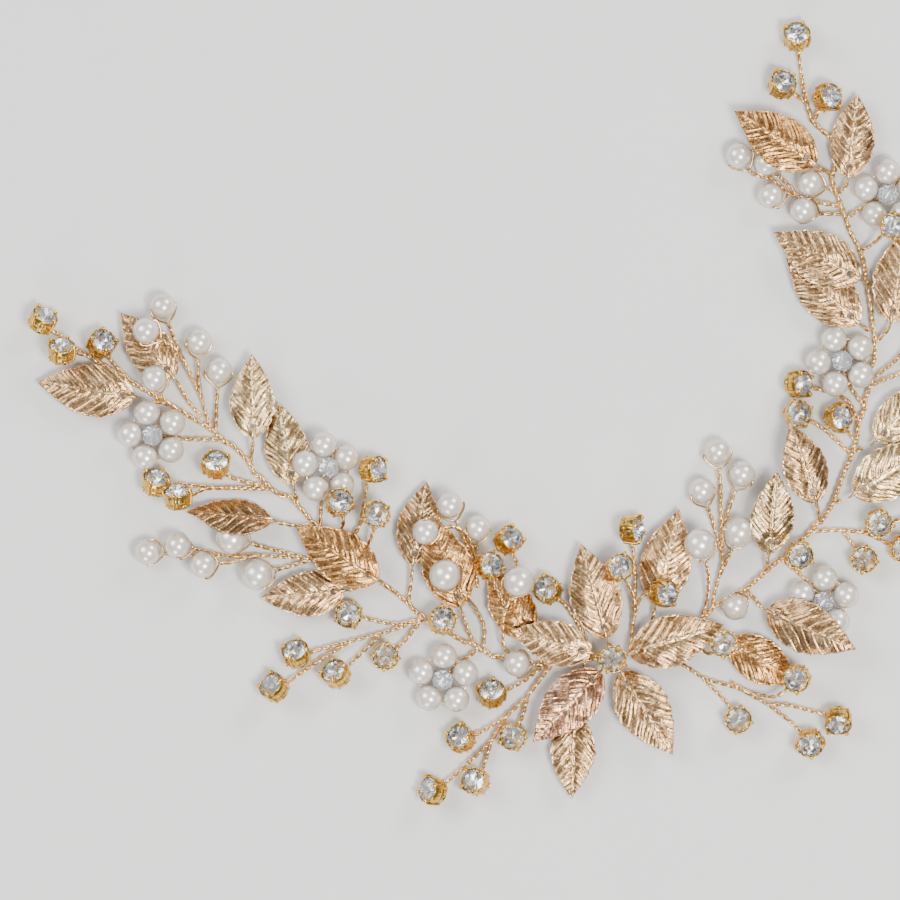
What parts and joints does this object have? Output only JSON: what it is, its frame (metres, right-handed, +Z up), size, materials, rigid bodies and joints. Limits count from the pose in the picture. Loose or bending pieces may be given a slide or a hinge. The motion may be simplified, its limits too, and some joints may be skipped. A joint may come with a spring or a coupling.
{
  "type": "hair vine tiara",
  "caption": "Bridal hair vine: stamped gold leaves, pearls, pearl flowers and claw-set rhinestones on twisted wire, in two wings that bend at a centre flower.",
  "frame": {"origin": "on the table under the centre stone", "axes": "+X towards the end of the right wing, +Y towards the open side between the wings, +Z up from the table to the faces of the leaves"},
  "size_m": [0.1714, 0.1347, 0.0117],
  "materials": {
    "leaf_gold": "stamped, satin to polished champagne gold",
    "wire_gold": "polished rose and champagne gold wire",
    "cup_gold": "polished yellow gold plate",
    "pearl": "ivory pearl lustre",
    "crystal": "clear, faceted and foil backed"
  },
  "bodies": {
    "centre": {"centre_stem_wire": "wire_gold", "centre_twigs": "wire_gold", "centre_setting": "cup_gold", "centre_stone": "crystal", "centre_cups": "cup_gold", "centre_cup_stones": "crystal", "centre_pearls": "pearl"},
    "left_wing": {"left_stem_wire": "wire_gold", "left_twigs": "wire_gold", "left_cups": "cup_gold", "left_cup_stones": "crystal", "left_pearls": "pearl", "left_flower_1_pearls": "pearl", "left_flower_1_crystal": "crystal", "left_flower_2_pearls": "pearl", "left_flower_2_crystal": "crystal", "left_flower_3_pearls": "pearl", "left_flower_3_crystal": "crystal"},
    "right_wing": {"right_stem_wire": "wire_gold", "right_twigs": "wire_gold", "right_cups": "cup_gold", "right_cup_stones": "crystal", "right_pearls": "pearl", "right_flower_1_pearls": "pearl", "right_flower_1_crystal": "crystal", "right_flower_2_pearls": "pearl", "right_flower_2_crystal": "crystal", "right_flower_3_pearls": "pearl", "right_flower_3_crystal": "crystal"},
    "centre_petal_1": {"centre_petal_1": "leaf_gold"},
    "centre_petal_2": {"centre_petal_2": "leaf_gold"},
    "centre_petal_3": {"centre_petal_3": "leaf_gold"},
    "centre_petal_4": {"centre_petal_4": "leaf_gold"},
    "centre_petal_5": {"centre_petal_5": "leaf_gold"},
    "centre_leaf_1": {"centre_leaf_1": "leaf_gold"},
    "centre_leaf_2": {"centre_leaf_2": "leaf_gold"},
    "centre_leaf_3": {"centre_leaf_3": "leaf_gold"},
    "centre_leaf_4": {"centre_leaf_4": "leaf_gold"},
    "left_leaf_1": {"left_leaf_1": "leaf_gold"},
    "left_leaf_2": {"left_leaf_2": "leaf_gold"},
    "left_leaf_3": {"left_leaf_3": "leaf_gold"},
    "left_leaf_4": {"left_leaf_4": "leaf_gold"},
    "left_leaf_5": {"left_leaf_5": "leaf_gold"},
    "left_leaf_6": {"left_leaf_6": "leaf_gold"},
    "left_leaf_7": {"left_leaf_7": "leaf_gold"},
    "left_leaf_8": {"left_leaf_8": "leaf_gold"},
    "left_leaf_9": {"left_leaf_9": "leaf_gold"},
    "right_leaf_1": {"right_leaf_1": "leaf_gold"},
    "right_leaf_2": {"right_leaf_2": "leaf_gold"},
    "right_leaf_3": {"right_leaf_3": "leaf_gold"},
    "right_leaf_4": {"right_leaf_4": "leaf_gold"},
    "right_leaf_5": {"right_leaf_5": "leaf_gold"},
    "right_leaf_6": {"right_leaf_6": "leaf_gold"},
    "right_leaf_7": {"right_leaf_7": "leaf_gold"},
    "right_leaf_8": {"right_leaf_8": "leaf_gold"},
    "right_leaf_9": {"right_leaf_9": "leaf_gold"},
    "right_leaf_10": {"right_leaf_10": "leaf_gold"},
    "right_leaf_11": {"right_leaf_11": "leaf_gold"}
  },
  "joints": [
    {"name": "left_wing_bend", "type": "hinge", "parent": "centre", "child": "left_wing", "pos_m": [-0.0203, 0.0086, 0.001], "axis": [-0.7071, -0.7071, 0], "range_deg": [0, 30]},
    {"name": "right_wing_bend", "type": "hinge", "parent": "centre", "child": "right_wing", "pos_m": [0.0204, 0.0015, 0.001], "axis": [-0.7071, 0.7071, 0], "range_deg": [0, 30]},
    {"name": "centre_petal_1_tilt", "type": "hinge", "parent": "centre", "child": "centre_petal_1", "pos_m": [0.00055, 0.00519, 0.00273], "axis": [0.9945, -0.1045, 0], "range_deg": [-3, 4]},
    {"name": "centre_petal_2_tilt", "type": "hinge", "parent": "centre", "child": "centre_petal_2", "pos_m": [-0.00416, 0.00313, 0.00458], "axis": [0.6018, 0.7986, 0], "range_deg": [-1, 6]},
    {"name": "centre_petal_3_tilt", "type": "hinge", "parent": "centre", "child": "centre_petal_3", "pos_m": [-0.004, -0.00187, 0.00343], "axis": [-0.4226, 0.9063, 0], "range_deg": [-3, 6]},
    {"name": "centre_petal_4_tilt", "type": "hinge", "parent": "centre", "child": "centre_petal_4", "pos_m": [0.0008, -0.00414, 0.00283], "axis": [-0.9816, -0.1908, 0], "range_deg": [-3, 6]},
    {"name": "centre_petal_5_tilt", "type": "hinge", "parent": "centre", "child": "centre_petal_5", "pos_m": [0.0046, -0.00032, 0.00303], "axis": [-0.0698, -0.9976, 0], "range_deg": [-3, 1]},
    {"name": "centre_leaf_1_tilt", "type": "hinge", "parent": "centre", "child": "centre_leaf_1", "pos_m": [-0.01346, 0.01021, 0.00223], "axis": [0.9903, 0.1392, 0], "range_deg": [-1, 2]},
    {"name": "centre_leaf_2_tilt", "type": "hinge", "parent": "centre", "child": "centre_leaf_2", "pos_m": [-0.01111, -0.00829, 0.00219], "axis": [-0.9205, 0.3907, 0], "range_deg": [-1, 6]},
    {"name": "centre_leaf_3_tilt", "type": "hinge", "parent": "centre", "child": "centre_leaf_3", "pos_m": [0.01223, 0.00759, 0.00216], "axis": [0.8192, -0.5736, 0], "range_deg": [-1, 3]},
    {"name": "centre_leaf_4_tilt", "type": "hinge", "parent": "centre", "child": "centre_leaf_4", "pos_m": [0.0226, -0.0057, 0.00213], "axis": [-0.7986, -0.6018, 0], "range_deg": [-1, 3]},
    {"name": "left_leaf_1_tilt", "type": "hinge", "parent": "left_wing", "child": "left_leaf_1", "pos_m": [-0.06794, 0.0803, 0.00269], "axis": [0.5, 0.866, 0], "range_deg": [-2, 6]},
    {"name": "left_leaf_2_tilt", "type": "hinge", "parent": "left_wing", "child": "left_leaf_2", "pos_m": [-0.05889, 0.08145, 0.00221], "axis": [0.9511, 0.309, 0], "range_deg": [-2, 5]},
    {"name": "left_leaf_3_tilt", "type": "hinge", "parent": "left_wing", "child": "left_leaf_3", "pos_m": [-0.04826, 0.06527, 0.00349], "axis": [0.9336, -0.3584, 0], "range_deg": [-3, 6]},
    {"name": "left_leaf_4_tilt", "type": "hinge", "parent": "left_wing", "child": "left_leaf_4", "pos_m": [-0.04449, 0.05422, 0.00223], "axis": [0.9816, -0.1908, 0], "range_deg": [-1, 3]},
    {"name": "left_leaf_5_tilt", "type": "hinge", "parent": "left_wing", "child": "left_leaf_5", "pos_m": [-0.05215, 0.04879, 0.00306], "axis": [0.3179, 0.7027, -0.6365], "range_deg": [0, 6]},
    {"name": "left_leaf_6_tilt", "type": "hinge", "parent": "left_wing", "child": "left_leaf_6", "pos_m": [-0.03703, 0.03119, 0.00356], "axis": [0.8192, 0.5736, 0], "range_deg": [-2, 6]},
    {"name": "left_leaf_7_tilt", "type": "hinge", "parent": "left_wing", "child": "left_leaf_7", "pos_m": [-0.04404, 0.03103, 0.00221], "axis": [0.2756, 0.9613, 0], "range_deg": [-2, 4]},
    {"name": "left_leaf_8_tilt", "type": "hinge", "parent": "left_wing", "child": "left_leaf_8", "pos_m": [-0.02841, 0.03154, 0.00223], "axis": [0.8572, -0.515, 0], "range_deg": [-1, 6]},
    {"name": "left_leaf_9_tilt", "type": "hinge", "parent": "left_wing", "child": "left_leaf_9", "pos_m": [-0.02335, 0.02082, 0.00339], "axis": [0.9986, -0.0523, 0], "range_deg": [-3, 2]},
    {"name": "right_leaf_1_tilt", "type": "hinge", "parent": "right_wing", "child": "right_leaf_1", "pos_m": [0.03565, 0.00895, 0.00362], "axis": [0.888, -0.3966, -0.2325], "range_deg": [-1, 1]},
    {"name": "right_leaf_2_tilt", "type": "hinge", "parent": "right_wing", "child": "right_leaf_2", "pos_m": [0.04713, 0.01483, 0.00468], "axis": [0.99, -0.0378, -0.1356], "range_deg": [-3, 6]},
    {"name": "right_leaf_3_tilt", "type": "hinge", "parent": "right_wing", "child": "right_leaf_3", "pos_m": [0.05543, 0.01271, 0.00266], "axis": [0.204, -0.9735, -0.1035], "range_deg": [0, 6]},
    {"name": "right_leaf_4_tilt", "type": "hinge", "parent": "right_wing", "child": "right_leaf_4", "pos_m": [0.06308, 0.02103, 0.0023], "axis": [0.3746, -0.9272, 0], "range_deg": [-3, 1]},
    {"name": "right_leaf_5_tilt", "type": "hinge", "parent": "right_wing", "child": "right_leaf_5", "pos_m": [0.03177, -0.00292, 0.00382], "axis": [-0.6623, -0.7241, -0.1928], "range_deg": [-1, 6]},
    {"name": "right_leaf_6_tilt", "type": "hinge", "parent": "right_wing", "child": "right_leaf_6", "pos_m": [0.06954, 0.05124, 0.00396], "axis": [0.766, 0.6428, 0], "range_deg": [-3, 6]},
    {"name": "right_leaf_7_tilt", "type": "hinge", "parent": "right_wing", "child": "right_leaf_7", "pos_m": [0.06665, 0.04362, 0.00216], "axis": [0.891, 0.454, 0], "range_deg": [-1, 3]},
    {"name": "right_leaf_8_tilt", "type": "hinge", "parent": "right_wing", "child": "right_leaf_8", "pos_m": [0.07347, 0.04156, 0.00219], "axis": [0.848, -0.5299, 0], "range_deg": [0, 6]},
    {"name": "right_leaf_9_tilt", "type": "hinge", "parent": "right_wing", "child": "right_leaf_9", "pos_m": [0.06975, 0.07469, 0.00399], "axis": [0.7963, 0.5806, -0.1699], "range_deg": [-1, 6]},
    {"name": "right_leaf_10_tilt", "type": "hinge", "parent": "right_wing", "child": "right_leaf_10", "pos_m": [0.07583, 0.07022, 0.0023], "axis": [0.8829, -0.4695, 0], "range_deg": [-3, 2]},
    {"name": "right_leaf_11_tilt", "type": "hinge", "parent": "right_wing", "child": "right_leaf_11", "pos_m": [0.06401, 0.00442, 0.00231], "axis": [-0.1219, -0.9925, 0], "range_deg": [0, 6]}
  ]
}
